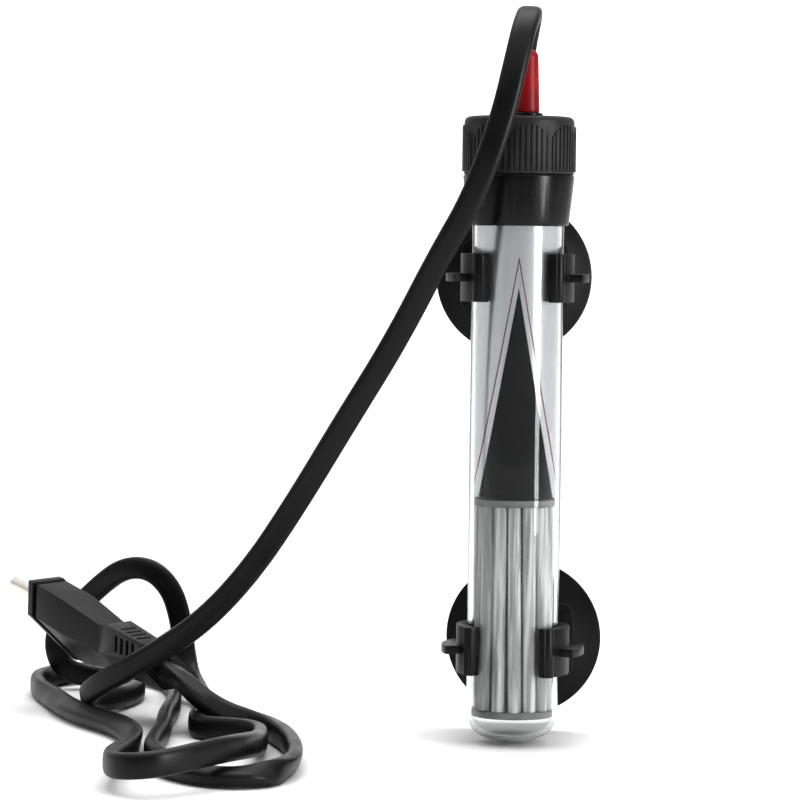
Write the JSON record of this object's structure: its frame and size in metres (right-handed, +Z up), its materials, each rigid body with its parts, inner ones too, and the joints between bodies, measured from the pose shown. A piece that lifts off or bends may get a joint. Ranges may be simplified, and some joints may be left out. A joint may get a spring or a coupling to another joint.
{
  "type": "submersible aquarium heater",
  "caption": "Slim glass-tube aquarium heater with screwed black head, red temperature knob, clips with suction cups, and a flat mains cord ending in a two-pin plug.",
  "frame": {"origin": "centre of the upper suction cup's wall face, on the plane of the aquarium wall", "axes": "+Z up along the glass tube, +Y out of the heater into the wall, +X to the right seen from in front"},
  "size_m": [0.1716, 0.2097, 0.2006],
  "materials": {
    "glass": "clear",
    "label": "metallised film, black wedge",
    "ceramic": "unglazed",
    "wire": "drawn",
    "quartz": "milky",
    "board": "moulded",
    "spring_steel": "rolled",
    "brass": "plain",
    "copper": "drawn",
    "magnet": "plated",
    "capacitor": "dipped",
    "lamp": "clear",
    "head": "gloss",
    "cap": "satin",
    "soft": "matt",
    "knob": "slightly clear",
    "clip": "satin",
    "cup": "satin",
    "cord": "satin sheath",
    "plug": "satin",
    "pins": "nickel"
  },
  "bodies": {
    "heater": {"glass_tube": "glass", "label_liner": "label", "upper_spacer": "ceramic", "lower_spacer": "ceramic", "ceramic_core": "ceramic", "heating_coil": "wire", "quartz_rods": "quartz", "thermostat_frame": "board", "fixed_contact": "brass", "strip_mount": "board", "supply_leads": "copper", "element_leads": "copper", "terminals": "brass", "magnet": "magnet", "capacitor": "capacitor", "indicator_lamp": "lamp", "head_sleeve": "head", "tube_gasket": "soft", "stopper": "soft", "cap_nut": "cap", "cord_gland": "soft", "knob_boss": "head", "power_cord": "cord", "plug_front": "plug", "plug_body": "plug", "plug_pins": "pins"},
    "knob": {"temperature_knob": "knob", "adjuster_spindle": "brass"},
    "adjuster": {"adjuster_nut": "board"},
    "switch_arm": {"bimetal_arm": "spring_steel"},
    "upper_clip": {"upper_clip": "clip"},
    "upper_cup": {"upper_suction_cup": "cup"},
    "lower_clip": {"lower_clip": "clip"},
    "lower_cup": {"lower_suction_cup": "cup"}
  },
  "joints": [
    {"name": "knob_turn", "type": "hinge", "parent": "heater", "child": "knob", "pos_m": [0.0017, -0.033, 0.0443], "axis": [0, 0, 1], "range_deg": [-150, 150]},
    {"name": "adjuster_travel", "type": "slide", "parent": "heater", "child": "adjuster", "axis": [0, 0, 1], "range_m": [-0.00053, 0.00053]},
    {"name": "switch_bend", "type": "hinge", "parent": "heater", "child": "switch_arm", "pos_m": [0, -0.0265, -0.016], "axis": [1, 0, 0], "range_deg": [0, 2.5]},
    {"name": "upper_clip_slide", "type": "slide", "parent": "heater", "child": "upper_clip", "axis": [0, 0, 1], "range_m": [-0.0565, 0.007]},
    {"name": "lower_clip_turn", "type": "hinge", "parent": "heater", "child": "lower_clip", "pos_m": [0, -0.027, -0.101], "axis": [0, 0, 1], "range_deg": [-30, 40]},
    {"name": "upper_cup_swivel", "type": "hinge", "parent": "upper_clip", "child": "upper_cup", "pos_m": [0, 0, 0], "axis": [0, 1, 0], "continuous": true},
    {"name": "lower_cup_swivel", "type": "hinge", "parent": "lower_clip", "child": "lower_cup", "pos_m": [0.00394, -0.00029, -0.101], "axis": [0.1461, 0.9893, 0], "continuous": true}
  ],
  "couplings": [
    {"joint": "adjuster_travel", "follows": "knob_turn", "m_per_rad": 0.000199}
  ]
}
